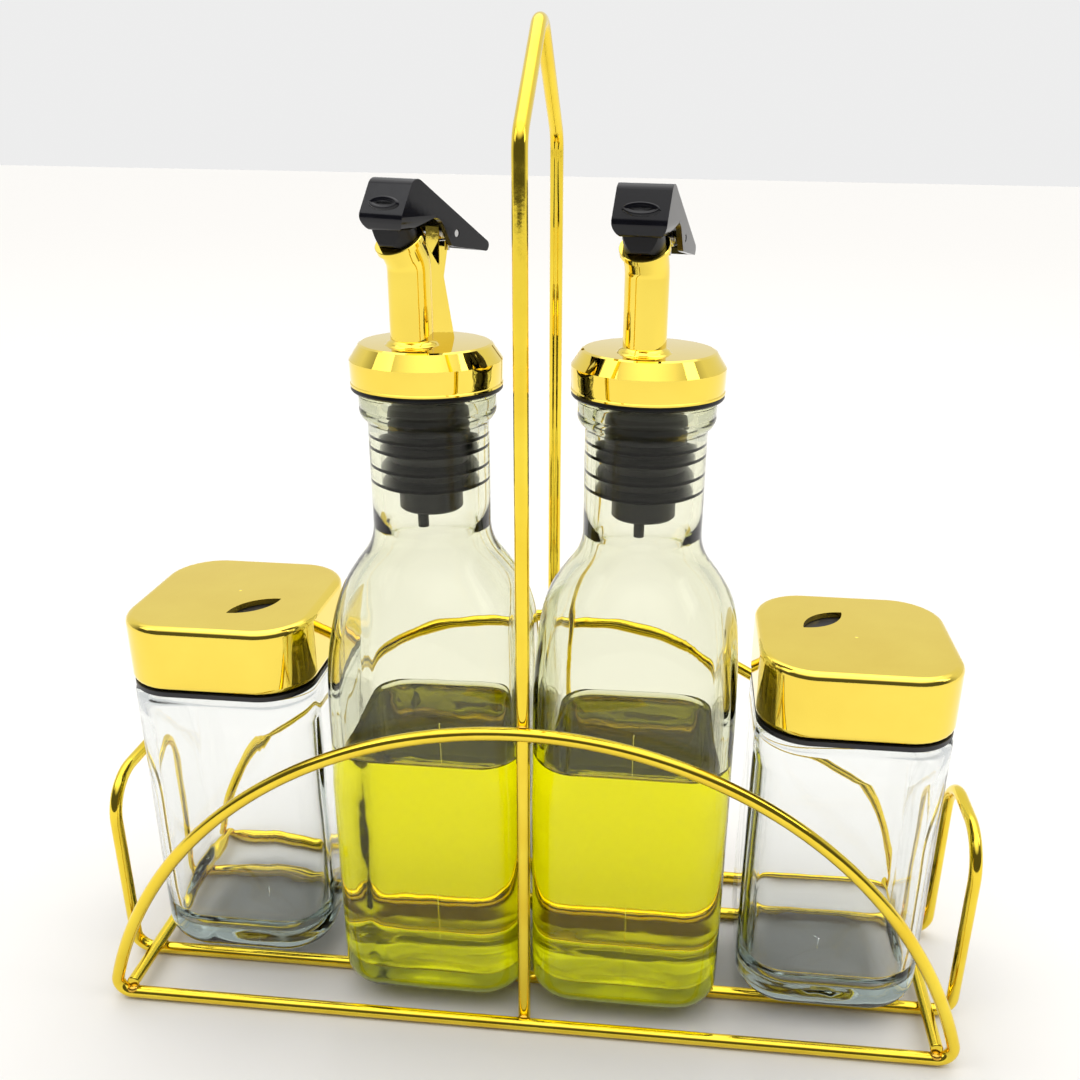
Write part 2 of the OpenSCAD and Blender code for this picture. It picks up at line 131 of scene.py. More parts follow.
def rounded(corners, steps=6):
    """Points of a closed outline whose corners (x, y, radius) are rounded."""
    points = []
    for i, (x, y, r) in enumerate(corners):
        here = Vector((x, y))
        before = (Vector(corners[i - 1][:2]) - here).normalized()
        after = (Vector(corners[(i + 1) % len(corners)][:2]) - here).normalized()
        half = math.acos(max(-1, min(1, before.dot(after)))) / 2
        centre = here + (before + after).normalized() * r / math.sin(half)
        start = here + before * r / math.tan(half) - centre
        stop = here + after * r / math.tan(half) - centre
        for k in range(steps + 1):
            points.append(centre + start.lerp(stop, k / steps).normalized() * r)
    return points


def plate(name, outline, width):
    """A side outline of (forward, up), pulled out to a width that is centred on X."""
    left = -width / 2
    piece = draw(name, [(left, -forward, up) for forward, up in outline], closed=True)
    go((width, 0, 0))
    return end(piece)


def modify(piece, kind, **settings):
    """Adds a modifier and applies it."""
    only(piece)
    modifier = piece.modifiers.new(kind.lower(), kind)
    for key, value in settings.items():
        setattr(modifier, key, value)
    bpy.ops.object.modifier_apply(modifier=modifier.name)
    return piece


def soften(piece, width, segments=3, angle=40):
    """Rounds the edges that are sharper than an angle, and keeps flat faces flat."""
    sharp = math.radians(angle)
    modify(piece, "BEVEL", width=width, segments=segments, limit_method="ANGLE", angle_limit=sharp)
    only(piece)
    bpy.ops.object.shade_smooth_by_angle(angle=sharp)
    return modify(piece, "WEIGHTED_NORMAL", weight=100, keep_sharp=True)


def cut(piece, tool):
    modify(piece, "BOOLEAN", object=tool, operation="DIFFERENCE", solver="EXACT")
    bpy.data.objects.remove(tool)
    return piece


def joined(name, pieces):
    only(pieces[0])
    for piece in pieces[1:]:
        piece.select_set(True)
    bpy.ops.object.join()
    pieces[0].name = name
    pieces[0].data.name = name
    return pieces[0]


def put(piece, matrix):
    piece.data.transform(matrix)
    return piece


def finished(piece, body, slot, material, *nodes):
    """Gives a piece its material and its body, and hides the CAD nodes that it stands for."""
    piece.data.materials.clear()
    piece.data.materials.append(material)
    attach(piece, body)
    if nodes:
        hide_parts(*nodes)
    return piece


# ---- materials ----

def material(name):
    made = bpy.data.materials.new(name)
    made.use_nodes = True
    return made, made.node_tree.nodes, made.node_tree.links, made.node_tree.nodes["Principled BSDF"]


def noise(nodes, links, scale, detail=3.0, roughness=0.5, stretch=(1, 1, 1)):
    place = nodes.new("ShaderNodeTexCoord")
    mapping = nodes.new("ShaderNodeMapping")
    mapping.inputs["Scale"].default_value = stretch
    texture = nodes.new("ShaderNodeTexNoise")
    texture.inputs["Scale"].default_value = scale
    texture.inputs["Detail"].default_value = detail
    texture.inputs["Roughness"].default_value = roughness
    links.new(place.outputs["Object"], mapping.inputs["Vector"])
    links.new(mapping.outputs["Vector"], texture.inputs["Vector"])
    return texture.outputs["Fac"]


def ramp(nodes, links, source, *stops):
    """Colours or greys at places along a source."""
    made = nodes.new("ShaderNodeValToRGB")
    elements = made.color_ramp.elements
    while len(elements) < len(stops):
        elements.new(0.5)
    for element, (place, colour) in zip(elements, stops):
        element.position = place
        element.color = (*colour, 1) if isinstance(colour, tuple) else (colour, colour, colour, 1)
    links.new(source, made.inputs["Fac"])
    return made.outputs["Color"]


def bump(nodes, links, shader, source, distance):
    made = nodes.new("ShaderNodeBump")
    made.inputs["Distance"].default_value = distance
    made.inputs["Strength"].default_value = 1
    links.new(source, made.inputs["Height"])
    links.new(made.outputs["Normal"], shader.inputs["Normal"])


def plated(name, pale, deep, low, high, ripple):
    """Bright gold plate: a slow drift of colour, faint haze and a ripple left by the plating bath."""
    made, nodes, links, shader = material(name)
    shader.inputs["Metallic"].default_value = 1
    drift = noise(nodes, links, 60, 4)
    links.new(ramp(nodes, links, drift, (0.3, deep), (0.7, pale)), shader.inputs["Base Color"])
    haze = noise(nodes, links, 400, 5)
    links.new(ramp(nodes, links, haze, (0.35, low), (0.75, high)), shader.inputs["Roughness"])
    bump(nodes, links, shader, noise(nodes, links, 350, 3), ripple)
    return made


def clear_glass(name, green, density, wave):
    """Pressed glass: clear, faintly green through its thickness, with wavy faces."""
    made, nodes, links, shader = material(name)
    shader.inputs["Base Color"].default_value = (1, 1, 1, 1)
    shader.inputs["Roughness"].default_value = 0
    shader.inputs["IOR"].default_value = 1.5
    shader.inputs["Specular Tint"].default_value = (0.35, 0.35, 0.35, 1)
    shader.inputs["Transmission Weight"].default_value = 1
    bump(nodes, links, shader, noise(nodes, links, 55, 2, 0.4, (1, 1, 0.45)), wave)
    tint = nodes.new("ShaderNodeVolumeAbsorption")
    tint.inputs["Color"].default_value = (*green, 1)
    tint.inputs["Density"].default_value = density
    links.new(tint.outputs["Volume"], nodes["Material Output"].inputs["Volume"])
    return made


def cooking_oil():
    made, nodes, links, shader = material("cooking_oil")
    shader.inputs["Base Color"].default_value = (1, 1, 1, 1)
    shader.inputs["Roughness"].default_value = 0
    shader.inputs["IOR"].default_value = 1.47
    shader.inputs["Specular Tint"].default_value = (0.06, 0.06, 0.05, 1)
    shader.inputs["Transmission Weight"].default_value = 1
    bump(nodes, links, shader, noise(nodes, links, 90, 2), 0.00005)
    tint = nodes.new("ShaderNodeVolumeAbsorption")
    tint.inputs["Color"].default_value = (0.99, 0.985, 0.02, 1)
    tint.inputs["Density"].default_value = 220
    links.new(tint.outputs["Volume"], nodes["Material Output"].inputs["Volume"])
    return made


def black_moulding(name, grey, low, high, grain, distance):
    """Moulded black plastic or rubber: near black, uneven gloss and a fine grain."""
    made, nodes, links, shader = material(name)
    drift = noise(nodes, links, 120, 4)
    shader.inputs["Specular IOR Level"].default_value = 0.35
    dark = tuple(c * 0.6 for c in grey)
    links.new(ramp(nodes, links, drift, (0.3, dark), (0.7, grey)), shader.inputs["Base Color"])
    links.new(ramp(nodes, links, drift, (0.3, low), (0.7, high)), shader.inputs["Roughness"])
    bump(nodes, links, shader, noise(nodes, links, grain, 4), distance)
    return made


def bright_steel():
    made, nodes, links, shader = material("bright_steel")
    shader.inputs["Metallic"].default_value = 1
    streak = noise(nodes, links, 900, 3, 0.5, (1, 1, 0.1))
    links.new(ramp(nodes, links, streak, (0.3, 0.55), (0.7, 0.75)), shader.inputs["Base Color"])
    links.new(ramp(nodes, links, streak, (0.3, 0.18), (0.7, 0.3)), shader.inputs["Roughness"])
    return made


gold_wire = plated("gold_wire", (0.93, 0.72, 0.07), (0.84, 0.60, 0.045), 0.05, 0.14, 0.00002)
weld_gold = plated("weld_gold", (0.85, 0.55, 0.08), (0.62, 0.30, 0.04), 0.12, 0.3, 0.00006)
gold_plate = plated("gold_plate", (0.94, 0.73, 0.115), (0.9, 0.68, 0.1), 0.03, 0.06, 0.000006)
bottle_glass = clear_glass("bottle_glass", (0.66, 0.68, 0.3), 90, 0.0004)
jar_glass = clear_glass("jar_glass", (0.55, 0.62, 0.6), 50, 0.0003)
oil = cooking_oil()
gloss_black = black_moulding("gloss_black", (0.005, 0.005, 0.009), 0.08, 0.16, 900, 0.000008)
satin_black = black_moulding("satin_black", (0.03, 0.03, 0.035), 0.34, 0.5, 1500, 0.00002)
rubber = black_moulding("stopper_rubber", (0.005, 0.005, 0.007), 0.3, 0.45, 700, 0.00002)
steel = bright_steel()


# ---- wires ----

WIRE_SIDES = 24


def wire_start(name, place, heading):
    """A ring of the wire's size at a place, facing the way that the wire will go."""
    facing = Vector(heading).to_track_quat("Z", "Y").to_euler()
    bpy.ops.mesh.primitive_circle_add(vertices=WIRE_SIDES, radius=WIRE_R, location=place, rotation=facing)
    return begin(name)


ARCH_BEND = 4 * MM
frame_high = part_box("front_frame")[1]
BEND_X = frame_high.x - ARCH_BEND - WIRE_R
BEND_Z = WIRE_R + ARCH_BEND
ARCH_TOP = frame_high.z - WIRE_R
BEND_RISE = BEND_Z - ARCH_TOP
ARCH_R = (BEND_X ** 2 + BEND_RISE ** 2 - ARCH_BEND ** 2) / (2 * (-BEND_RISE - ARCH_BEND))
ARCH_Z = ARCH_TOP - ARCH_R
BEND_UP = math.atan2(BEND_Z - ARCH_Z, BEND_X)
ACROSS = Vector((0, -1, 0))


def arch_frame(node):
    """One wire: the bottom rail, a bend, the arch and the other bend."""
    y = middle(node).y
    piece = wire_start(node + "_wire", (0, y, WIRE_R), (1, 0, 0))
    go((BEND_X, 0, 0))
    turn((BEND_X, y, BEND_Z), ACROSS, math.pi / 2 + BEND_UP, 10)
    turn((0, y, ARCH_Z), ACROSS, math.pi - 2 * BEND_UP, 110)
    turn((-BEND_X, y, BEND_Z), ACROSS, math.pi / 2 + BEND_UP, 10)
    go((BEND_X, 0, 0))
    end(piece, 60)
    finished(piece, "rack", "rack_wire", gold_wire, node)


def cross_wire(node):
    low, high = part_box(node)
    x, z = (low.x + high.x) / 2, (low.z + high.z) / 2
    piece = wire_start(node + "_rod", (x, low.y, z), (0, 1, 0))
    bpy.ops.mesh.edge_face_add()
    go((0, high.y - low.y, 0))
    end(piece, 60)
    soften(piece, 0.3 * MM, 2, 60)
    finished(piece, "rack", "rack_wire", gold_wire, node)


HANDLE_BEND = 7 * MM
SHOULDER_H = 225 * MM


def handle():
    """The tall handle: up, over two shoulders and a peak, and down again."""
    low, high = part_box("handle")
    y = high.y - WIRE_R
    peak = high.z - WIRE_R - HANDLE_BEND
    rise = high.z - WIRE_R - HANDLE_BEND - SHOULDER_H
    lean = math.atan2(rise, y) + math.asin(HANDLE_BEND / math.hypot(y, rise))
    back = HANDLE_BEND * math.tan((math.pi / 2 - lean) / 2)
    sloped = y / math.cos(lean) - back - HANDLE_BEND * math.tan(lean)
    ease = math.pi / 2 - lean
    axis = (1, 0, 0)
    piece = wire_start("handle_wire", (0, -y, 0), (0, 0, 1))
    bpy.ops.mesh.edge_face_add()
    go((0, 0, SHOULDER_H - back))
    turn((0, HANDLE_BEND - y, SHOULDER_H - back), axis, -ease, 10)
    go((0, sloped * math.cos(lean), sloped * math.sin(lean)))
    turn((0, 0, peak), axis, -2 * lean, 14)
    go((0, sloped * math.cos(lean), -sloped * math.sin(lean)))
    turn((0, y - HANDLE_BEND, SHOULDER_H - back), axis, -ease, 10)
    go((0, 0, back - SHOULDER_H))
    end(piece, 60)
    finished(piece, "rack", "rack_wire", gold_wire, "handle")


RAIL_BEND = 5 * MM
LOOP_BEND = 12 * MM


def shelf_wire():
    """Two rails that turn up at each end into one loop."""
    low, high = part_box("shelf_wire")
    x, y, top = high.x - WIRE_R, high.y - WIRE_R, high.z - WIRE_R
    foot = WIRE_R + RAIL_BEND
    piece = wire_start("shelf_wire_loop", (0, -y, WIRE_R), (1, 0, 0))
    for side in (1, -1):
        go((side * (x - RAIL_BEND), 0, 0))
        turn((side * (x - RAIL_BEND), -side * y, foot), (0, -side, 0), math.pi / 2, 8)
        go((0, 0, top - LOOP_BEND - foot))
        turn((side * x, side * (LOOP_BEND - y), top - LOOP_BEND), (-side, 0, 0), math.pi / 2, 12)
        go((0, side * 2 * (y - LOOP_BEND), 0))
        turn((side * x, side * (y - LOOP_BEND), top - LOOP_BEND), (-side, 0, 0), math.pi / 2, 12)
        go((0, 0, foot - top + LOOP_BEND))
        turn((side * (x - RAIL_BEND), side * y, foot), (0, side, 0), math.pi / 2, 8)
        go((side * (RAIL_BEND - x), 0, 0))
    end(piece, 60)
    finished(piece, "rack", "rack_wire", gold_wire, "shelf_wire")


def bead(place, size):
    bpy.ops.mesh.primitive_ico_sphere_add(subdivisions=3, radius=1, location=place, scale=size)
    piece = begin("bead")
    return end(piece, 80)


def weld_beads():
    """The small lumps of metal where two wires are welded."""
    beads = []
    rail_y = middle("front_frame").y
    handle_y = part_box("handle")[1].y - WIRE_R
    long, wide = 1.7 * MM, 1.1 * MM
    for side in (-1, 1):
        y = side * (abs(rail_y) + handle_y) / 2
        beads.append(bead((0, y, ARCH_TOP), (long, wide, long)))
        beads.append(bead((0, y, WIRE_R), (long, wide, long)))
    shelf_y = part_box("shelf_wire")[1].y - WIRE_R
    for node in ("left_cross_wire", "right_cross_wire"):
        x = middle(node).x
        z = middle(node).z - WIRE_R
        for y in (-abs(rail_y), -shelf_y, shelf_y, abs(rail_y)):
            beads.append(bead((x, y, z), (long, long, wide)))
    piece = joined("weld_beads", beads)
    finished(piece, "rack", "rack_wire", weld_gold)


for side in ("front", "rear"):
    arch_frame(side + "_frame")
for side in SIDES:
    cross_wire(side + "_cross_wire")
handle()
shelf_wire()
weld_beads()


# ---- glass ----

RING = 144
EIGHTH = math.pi / 4


def square_reach(angle, half, corner):
    """Distance from the axis to a rounded square's edge, at an angle."""
    fold = abs((angle + EIGHTH) % (2 * EIGHTH) - EIGHTH)
    flat = half - corner
    if math.tan(fold) * half <= flat:
        return half / math.cos(fold)
    along = flat * (math.cos(fold) + math.sin(fold))
    return along + math.sqrt(max(0, along ** 2 - 2 * flat ** 2 + corner ** 2))


def smooth_least(a, b, ease):
    share = max(0, min(1, 0.5 + 0.5 * (b - a) / ease))
    return b + (a - b) * share - ease * share * (1 - share)


def glass_ring(z, half, corner, limit=None, ease=4 * MM):
    """Height and reaches of a rounded square, drawn in to a round limit."""
    reaches = []
    for k in range(RING):
        reach = square_reach(math.tau * k / RING, half, corner)
        reaches.append(reach if limit is None else smooth_least(reach, limit, ease))
    return z, reaches


def round_ring(z, radius):
    return z, [radius] * RING


def blown(name, rings):
    """Draws a closed skin through rings, from one pole to the other, by pulling one circle on."""
    bpy.ops.mesh.primitive_circle_add(vertices=RING, radius=rings[0][1][0], location=(0, 0, rings[0][0]))
    piece = begin(name)
    first = True
    for z, reaches in rings:
        if not first:
            go((0, 0, 0))
        first = False
        mesh = bmesh.from_edit_mesh(piece.data)
        for vertex in selected(mesh):
            angle = math.atan2(vertex.co.y, vertex.co.x)
            reach = reaches[round(angle / math.tau * RING) % RING]
            vertex.co = (reach * math.cos(angle), reach * math.sin(angle), z)
        bmesh.update_edit_mesh(piece.data)
    bpy.ops.mesh.select_all(action="DESELECT")
    bpy.ops.mesh.select_non_manifold()
    bpy.ops.mesh.fill()
    return end(piece, 75, merge=0.000002)


def steps(start, stop, count):
    return [start + (stop - start) * k / count for k in range(count + 1)]


BODY_H = 82 * MM
SHOULDER_R = 67 * MM
THROAT_R = 14 * MM
NECK_R = 14.6 * MM
NECK_H = 33 * MM
LIP_R = 16.4 * MM
LIP_H = 6.5 * MM
BOTTLE_CORNER = 11 * MM
BOTTLE_WALL = 3 * MM
BOTTLE_BASE = 8 * MM
HEEL_R = 8.5 * MM
OIL_H = 66 * MM
POLE = 0.2 * MM

bottle_low, bottle_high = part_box("left_bottle")
BOTTLE_HALF = (bottle_high.x - bottle_low.x) / 2
BOTTLE_H = bottle_high.z - bottle_low.z
DOME_BACK = SHOULDER_R - ((BOTTLE_HALF - BOTTLE_CORNER) * math.sqrt(2) + BOTTLE_CORNER + 0.5 * MM)
THROAT_X = NECK_R + THROAT_R
THROAT_Z = BOTTLE_H - NECK_H


def shoulder_rings(inset):
    """The dome and the throat above the body, set in from the outside by a thickness."""
    half = BOTTLE_HALF - inset
    corner = BOTTLE_CORNER - inset
    dome = SHOULDER_R - inset
    turn_z = BODY_H + (dome / (SHOULDER_R + THROAT_R)) * (THROAT_Z - BODY_H)
    rings = []
    for z in steps(BODY_H - 10 * MM, turn_z, 26):
        limit = math.sqrt(dome ** 2 - max(0, z - BODY_H) ** 2) - DOME_BACK
        rings.append(glass_ring(z, half, corner, limit))
    for z in steps(turn_z, THROAT_Z, 12)[1:]:
        limit = THROAT_X - math.sqrt((THROAT_R + inset) ** 2 - (THROAT_Z - z) ** 2)
        rings.append(glass_ring(z, half, corner, limit))
    return rings


def heel_rings(z0, half, corner, radius):
    """A rounded bottom edge, from below upward."""
    rings = []
    for k in range(9):
        a = math.pi / 2 * k / 8
        inset = radius * (1 - math.sin(a))
        rings.append(glass_ring(z0 + radius * (1 - math.cos(a)), half - inset, corner - inset * 0.6))
    return rings


def floor_rings(z, half, corner, dish):
    """A bottom from its pole outward, dished up by a little in the middle."""
    rings = [round_ring(z + dish, POLE)]
    for share in (0.15, 0.3, 0.45, 0.6, 0.75, 0.9):
        rise = dish * (1 - share ** 2)
        rings.append(glass_ring(z + rise, half * share, corner * share))
    return rings


INNER_HEEL = 5 * MM


def inner_body_rings(inset, base, top):
    """The inside of a bottle's body, from the bottom's pole up to a height."""
    half = BOTTLE_HALF - inset
    corner = BOTTLE_CORNER - inset
    rings = floor_rings(base, half - INNER_HEEL, corner * 0.8, 1.2 * MM)
    rings += heel_rings(base, half, corner, INNER_HEEL)
    rings += [glass_ring(z, half, corner) for z in steps(base + INNER_HEEL, top, 8)[1:]]
    return rings


def bottle(side):
    """A pressed bottle: thick base, square body, domed shoulder, neck and lip."""
    rings = floor_rings(0, BOTTLE_HALF - HEEL_R, BOTTLE_CORNER - HEEL_R * 0.6, 1.0 * MM)
    rings += heel_rings(0, BOTTLE_HALF, BOTTLE_CORNER, HEEL_R)
    rings += [glass_ring(z, BOTTLE_HALF, BOTTLE_CORNER) for z in steps(HEEL_R, BODY_H - 10 * MM, 8)[1:-1]]
    rings += shoulder_rings(0)
    lip_z = BOTTLE_H - LIP_H
    rings += [round_ring(z, NECK_R) for z in steps(THROAT_Z, lip_z - 1.2 * MM, 6)[1:]]
    rings += [round_ring(lip_z - 0.3 * MM, NECK_R + 0.4 * MM)]
    rings += [round_ring(lip_z + 0.4 * MM, NECK_R + 1.2 * MM)]
    rings += [round_ring(lip_z + 1.2 * MM, LIP_R - 0.15 * MM), round_ring(lip_z + 1.9 * MM, LIP_R)]
    groove = BOTTLE_H - 3.6 * MM
    for lift, dip in ((-0.35, 0.0), (-0.12, 0.18), (0.12, 0.18), (0.35, 0.0)):
        rings.append(round_ring(groove + lift * MM, LIP_R - dip * MM))
    for k in range(7):
        a = math.pi / 2 * k / 6
        rings.append(round_ring(BOTTLE_H - (1 - math.sin(a)) * MM, LIP_R - (1 - math.cos(a)) * MM))
    inside = NECK_R - 2.6 * MM
    for k in range(5):
        a = math.pi / 2 * k / 4
        drop = (1 - math.cos(a)) * 0.6 * MM
        rings.append(round_ring(BOTTLE_H - drop, inside + (1 - math.sin(a)) * 0.6 * MM))
    rings += [round_ring(z, inside) for z in steps(BOTTLE_H - 1 * MM, THROAT_Z, 6)]
    rings += list(reversed(shoulder_rings(BOTTLE_WALL)))[1:-1]
    rings += list(reversed(inner_body_rings(BOTTLE_WALL, BOTTLE_BASE, BODY_H - 10 * MM)))
    piece = blown(side + "_bottle_glass", rings)
    low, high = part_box(side + "_bottle")
    put(piece, Matrix.Translation(((low.x + high.x) / 2, (low.y + high.y) / 2, low.z)))
    finished(piece, side + "_bottle", "bottle_glass", bottle_glass, side + "_bottle")


MENISCUS = 1.1 * MM
GLASS_LAP = 0.06 * MM


def oil_fill(side):
    """The oil, a hair into the glass so that no air shows between them."""
    level = BOTTLE_BASE + OIL_H
    inset = BOTTLE_WALL - GLASS_LAP
    half = BOTTLE_HALF - inset
    corner = BOTTLE_CORNER - inset
    rings = inner_body_rings(inset, BOTTLE_BASE - GLASS_LAP, level + MENISCUS)
    for k in range(1, 6):
        inward = k / 5 * 2.2 * MM
        drop = MENISCUS * (1 - (1 - k / 5) ** 2)
        rings.append(glass_ring(level + MENISCUS - drop, half - inward, corner - inward * 0.5))
    rings += [glass_ring(level, half * s, corner * s) for s in (0.75, 0.5, 0.25)]
    rings.append(round_ring(level, POLE))
    piece = blown(side + "_oil_fill", rings)
    low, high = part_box(side + "_bottle")
    put(piece, Matrix.Translation(((low.x + high.x) / 2, (low.y + high.y) / 2, low.z)))
    finished(piece, side + "_bottle", "oil", oil, side + "_oil")


JAR_CORNER = 12.5 * MM
JAR_WALL = 2.8 * MM
JAR_BASE = 7 * MM
JAR_H = 85 * MM
JAR_NECK_R = 20.4 * MM
JAR_HEEL = 10 * MM
JAR_INNER_HEEL = 9 * MM


def jar(side):
    """A pressed jar: thick base, square body and a wide round neck under the shaker."""
    low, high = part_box(side + "_jar")
    half = (high.x - low.x) / 2
    height = high.z - low.z
    rings = floor_rings(0, half - JAR_HEEL, JAR_CORNER - JAR_HEEL * 0.6, 1.0 * MM)
    rings += heel_rings(0, half, JAR_CORNER, JAR_HEEL)
    rings += [glass_ring(z, half, JAR_CORNER) for z in steps(JAR_HEEL, JAR_H - 1.5 * MM, 10)[1:]]
    rings += [glass_ring(JAR_H - 0.5 * MM, half - 0.5 * MM, JAR_CORNER - 0.3 * MM)]
    rings += [glass_ring(JAR_H, half - 1.6 * MM, JAR_CORNER - 1 * MM)]
    rings += [round_ring(JAR_H + 0.02 * MM, JAR_NECK_R + 0.3 * MM)]
    rings += [round_ring(JAR_H + 0.3 * MM, JAR_NECK_R)]
    rings += [round_ring(height - 0.8 * MM, JAR_NECK_R), round_ring(height, JAR_NECK_R - 0.8 * MM)]
    inside = JAR_NECK_R - JAR_WALL
    rings += [round_ring(height, inside + 0.5 * MM), round_ring(height - 0.5 * MM, inside)]
    rings += [round_ring(JAR_H - 1 * MM, inside), round_ring(JAR_H - 2.2 * MM, inside + 0.8 * MM)]
    in_half = half - JAR_WALL
    in_corner = JAR_CORNER - JAR_WALL
    rings += [glass_ring(JAR_H - JAR_WALL - 0.2 * MM, in_half - 1.5 * MM, in_corner)]
    heel_top = JAR_BASE + JAR_INNER_HEEL
    rings += [glass_ring(z, in_half, in_corner) for z in steps(JAR_H - 4.2 * MM, heel_top, 10)]
    rings += list(reversed(heel_rings(JAR_BASE, in_half, in_corner, JAR_INNER_HEEL)))[1:]
    rings += list(reversed(floor_rings(JAR_BASE, in_half - JAR_INNER_HEEL, in_corner * 0.5, 1.0 * MM)))
    piece = blown(side + "_jar_glass", rings)
    put(piece, Matrix.Translation(((low.x + high.x) / 2, (low.y + high.y) / 2, low.z)))
    finished(piece, side + "_jar", "jar_glass", jar_glass, side + "_jar")


for side in SIDES:
    bottle(side)
    oil_fill(side)
    jar(side)


# ---- covers ----

COVER_CORNER = 13.4 * MM
COVER_WALL = 1.5 * MM
COVER_EDGE = 1.9 * MM
SLOT_OUT = 10.6 * MM
SLOT_LONG = 15.5 * MM
SLOT_WIDE = 6.4 * MM


def rounded_square(half, corner, count=10):
    return rounded([(s * half, t * half, corner) for s, t in ((1, -1), (1, 1), (-1, 1), (-1, -1))], count)


def slot_cutter(z0, z1):
    """A pointed oval prism, its long side across the diagonal that it stands on."""
    bow = (SLOT_LONG ** 2 + SLOT_WIDE ** 2) / (4 * SLOT_WIDE)
    open_angle = math.asin(SLOT_LONG / 2 / bow)
    points = []
    for sign in (1, -1):
        for k in range(14):
            a = -open_angle + 2 * open_angle * k / 14
            points.append((sign * (bow * math.cos(a) - bow + SLOT_WIDE / 2), sign * bow * math.sin(a)))
    piece = draw("slot_cutter", [(SLOT_OUT + x, y, z0) for x, y in points], closed=True)
    go((0, 0, z1 - z0))
    end(piece)
    return put(piece, Matrix.Rotation(-math.pi / 4, 4, "Z"))


def cover(side):
    """A plated cap: softly crowned edges, a pouring slot and the moulding's gate mark."""
    low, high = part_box(side + "_cover")
    half = (high.x - low.x) / 2
    height = high.z - low.z
    piece = draw("cap", [(x, y, 0) for x, y in rounded_square(half, COVER_CORNER)], closed=True)
    go((0, 0, height))
    end(piece)
    soften(piece, COVER_EDGE, 5, 45)
    inside = rounded_square(half - COVER_WALL, COVER_CORNER - COVER_WALL)
    hollow = draw("hollow", [(x, y, -height) for x, y in inside], closed=True)
    go((0, 0, 2 * height - COVER_WALL))
    end(hollow)
    cut(piece, hollow)
    cut(piece, slot_cutter(height / 2, height * 1.5))
    soften(piece, 0.5 * MM, 3, 45)
    profile = [(0.01 * MM, 0), (0.45 * MM, 0), (0.6 * MM, -0.08 * MM), (0.62 * MM, -0.3 * MM)]
    gate = lathe("gate", profile + [(0.01 * MM, -0.3 * MM)], 24)
    put(gate, Matrix.Translation((0, 2.1 * MM, height + 0.05 * MM)))
    piece = joined(side + "_cover_cap", [piece, gate])
    axis = middle(side + "_cover")
    put(piece, Matrix.Translation((axis.x, axis.y, low.z)) @ Matrix.Rotation(COVER_TURN[side], 4, "Z"))
    finished(piece, side + "_cover", "gold_plastic", gold_plate, side + "_cover")


for side in SIDES:
    cover(side)


# ---- pourers ----

GASKET_T = 1.3 * MM
REST = 0.1 * MM
COLLAR_R = 18.1 * MM
COLLAR_Z = REST + GASKET_T
BAND_H = 6.3 * MM
RIM_H = 3.5 * MM
RIM_IN = 2.6 * MM
PLATE_Z = COLLAR_Z + BAND_H + RIM_H
SPOUT_R = 5 * MM
SPOUT_FORWARD = 4.8 * MM
ELBOW_Z = PLATE_Z + 18.5 * MM
MOUTH_LEAN = math.radians(32)
MOUTH_LEN = 6 * MM
MOUTH_R = 5.7 * MM
FLOW_R = 3.2 * MM
STEM_R = 6 * MM
STOPPER_R = 9.6 * MM
STOPPER_H = 30.5 * MM
STOPPER_RINGS = (-11.2 * MM, -14.2 * MM, -18.7 * MM, -22.7 * MM)
FIN_W = 4 * MM


def pourer_place(side):
    axis = middle(side + "_bottle")
    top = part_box(side + "_bottle")[1].z
    return Matrix.Translation((axis.x, axis.y, top)) @ Matrix.Rotation(POURER_TURN[side], 4, "Z")


def pivot(side):
    """The hinge pin's place, as (forward, up) in the pourer."""
    local = pourer_place(side).inverted() @ middle(side + "_hinge_pin")
    return -local.y, local.z


def collar():
    """The plated collar: flat top, sloping rim, upright band and a thin lower lip."""
    r = COLLAR_R
    profile = [
        (STEM_R, COLLAR_Z - 1 * MM), (STEM_R, COLLAR_Z),
        (r - 0.5 * MM, COLLAR_Z), (r, COLLAR_Z + 0.15 * MM),
        (r, COLLAR_Z + 0.55 * MM), (r - 0.22 * MM, COLLAR_Z + 0.75 * MM),
        (r - 0.1 * MM, COLLAR_Z + 1.2 * MM),
        (r, COLLAR_Z + BAND_H - 0.3 * MM), (r - 0.2 * MM, COLLAR_Z + BAND_H),
        (r - RIM_IN + 0.3 * MM, PLATE_Z - 0.35 * MM), (r - RIM_IN - 0.3 * MM, PLATE_Z - 0.05 * MM),
        (r - RIM_IN - 0.9 * MM, PLATE_Z), (0.05 * MM, PLATE_Z),
    ]
    return lathe("collar", profile, 128, 14)


def foot():
    """The small step and hollow round the bottom of the spout tube."""
    r = SPOUT_R
    profile = [(0.05 * MM, PLATE_Z + 1.3 * MM), (r, PLATE_Z + 1.3 * MM)]
    profile += [(r + 0.25 * MM, PLATE_Z + 1.0 * MM)]
    profile += [(r + 0.75 * MM, PLATE_Z + 0.75 * MM), (r + 0.95 * MM, PLATE_Z + 0.4 * MM)]
    profile += [(r + 1.2 * MM, PLATE_Z + 0.12 * MM), (r + 1.7 * MM, PLATE_Z - 0.1 * MM)]
    profile += [(0.05 * MM, PLATE_Z - 0.1 * MM)]
    piece = lathe("foot", profile, 64, 60)
    return put(piece, Matrix.Translation((0, -SPOUT_FORWARD, 0)))


ELBOW_BEND = 7 * MM


